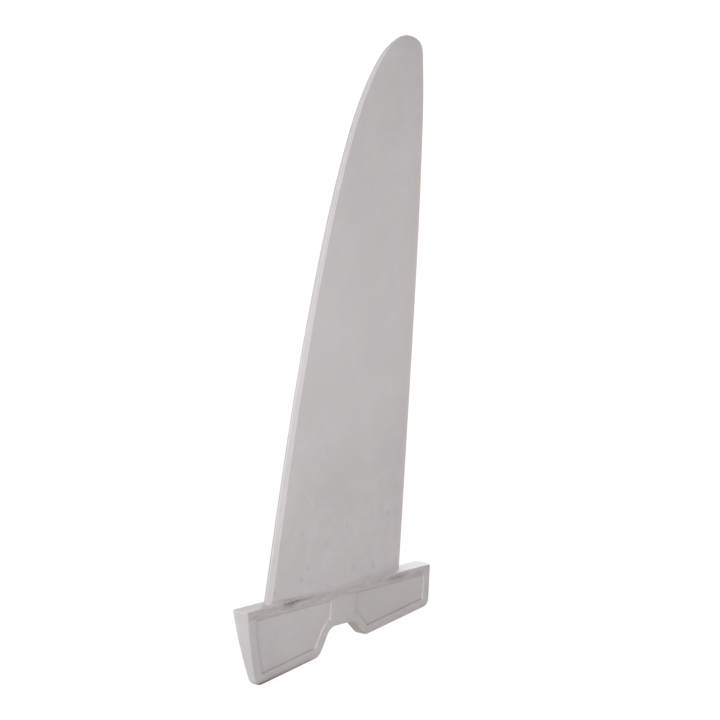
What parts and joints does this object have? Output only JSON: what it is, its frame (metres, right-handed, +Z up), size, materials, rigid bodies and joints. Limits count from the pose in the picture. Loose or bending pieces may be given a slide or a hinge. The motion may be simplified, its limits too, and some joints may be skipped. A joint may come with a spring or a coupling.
{
  "type": "windsurf fin",
  "caption": "Moulded plastic fin of a sailing board: a raked foil blade with a rounded tip on a tapered, notched head with sunk side panels and a brass threaded insert.",
  "frame": {"origin": "middle of the head's top face, which lies flush with the hull's bottom", "axes": "+Z up the blade to its tip, +X from the leading to the trailing side, Y through the thickness"},
  "size_m": [0.1681, 0.0124, 0.3818],
  "materials": {
    "fin_moulding": "pale warm grey moulded plastic, satin, with scuffs and grey grime at the head's rims",
    "threaded_insert": "turned brass, dulled by salt water"
  },
  "bodies": {
    "root": {"fin_moulding": "fin_moulding", "threaded_insert": "threaded_insert"}
  },
  "joints": []
}
